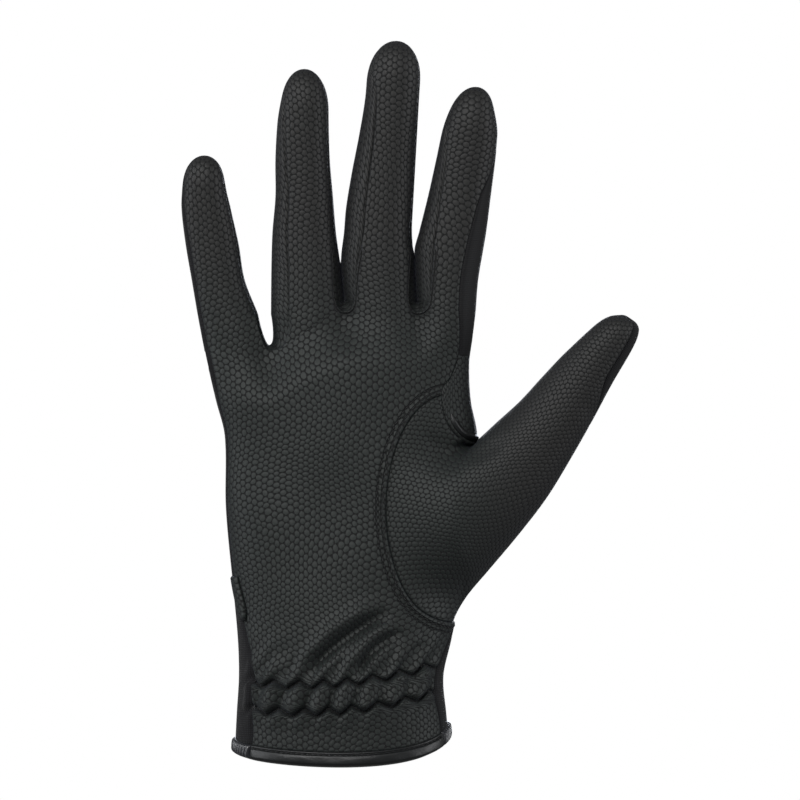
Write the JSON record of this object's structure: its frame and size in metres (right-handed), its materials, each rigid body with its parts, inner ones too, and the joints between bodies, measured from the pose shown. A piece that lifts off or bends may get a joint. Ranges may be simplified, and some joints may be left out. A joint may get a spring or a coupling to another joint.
{
  "type": "horse riding glove",
  "caption": "Close-fitting black leather riding glove for a right hand, with a shirred wrist, strips between the fingers and a bound hem.",
  "frame": {"origin": "centre of the wrist opening, where the hand goes in; the row's origin is the middle of the hem, midway between palm and back", "axes": "+Z from the wrist to the middle fingertip, -Y the palm side, +X the thumb side"},
  "size_m": [0.148, 0.0437, 0.2351],
  "materials": {
    "embossed_leather": "soft satin, embossed with small scale-like cells",
    "back_fabric": "matt stretch knit",
    "smooth_fabric": "smooth matt stretch fabric with a fine cross rib",
    "binding_leather": "smooth satin leather",
    "elastic": "ribbed elastic with a slight gloss"
  },
  "bodies": {
    "root": {"palm_panel": "embossed_leather", "fourchette_ring_little": "embossed_leather", "fourchette_middle_ring": "embossed_leather", "fourchette_index_middle": "embossed_leather", "thumb_gusset": "embossed_leather", "thumb_palm_panel": "embossed_leather", "closure_tongue": "embossed_leather", "back_panel": "back_fabric", "thumb_back_panel": "back_fabric", "index_side_panel": "smooth_fabric", "thumb_crotch_welt": "binding_leather", "hem_binding_front": "binding_leather", "hem_binding_back": "elastic"}
  },
  "joints": []
}
